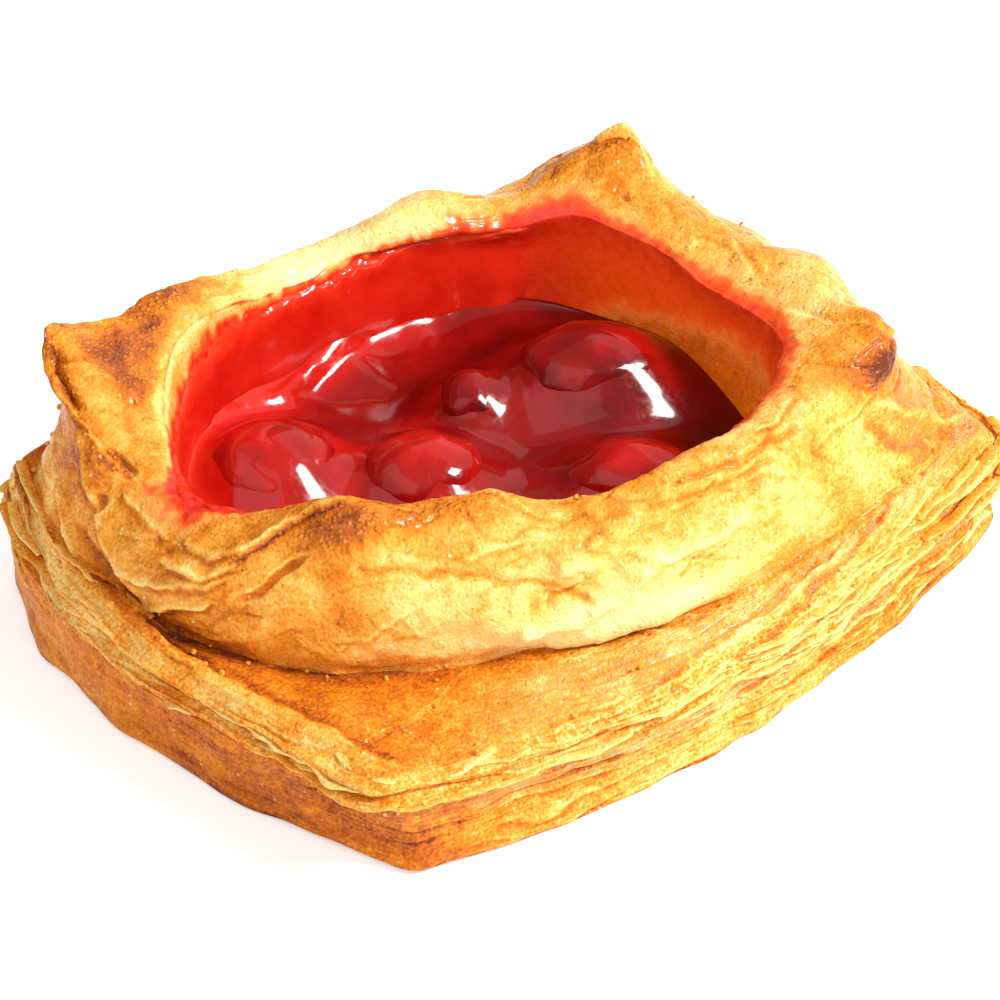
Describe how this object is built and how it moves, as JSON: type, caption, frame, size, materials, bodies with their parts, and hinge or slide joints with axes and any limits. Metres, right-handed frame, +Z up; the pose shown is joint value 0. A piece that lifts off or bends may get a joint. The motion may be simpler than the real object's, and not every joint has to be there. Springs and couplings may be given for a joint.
{
  "type": "raspberry danish",
  "caption": "Square puff pastry danish with layered sides and a raised frame round an open well of glossy red jam and fruit.",
  "frame": {"origin": "on the surface it rests on, at the middle of the bounding box", "axes": "+Z up, +X along the longer sides from the front corner to the right corner, +Y from the front corner to the left corner"},
  "size_m": [0.1144, 0.0921, 0.0382],
  "materials": {
    "crust": "baked puff pastry, egg-washed",
    "filling": "clear glossy red jam",
    "fruit": "dark red fruit under a glaze"
  },
  "bodies": {
    "root": {"pastry": "crust", "jam": "filling", "fruit_1": "fruit", "fruit_2": "fruit", "fruit_3": "fruit", "fruit_4": "fruit", "fruit_5": "fruit"}
  },
  "joints": []
}
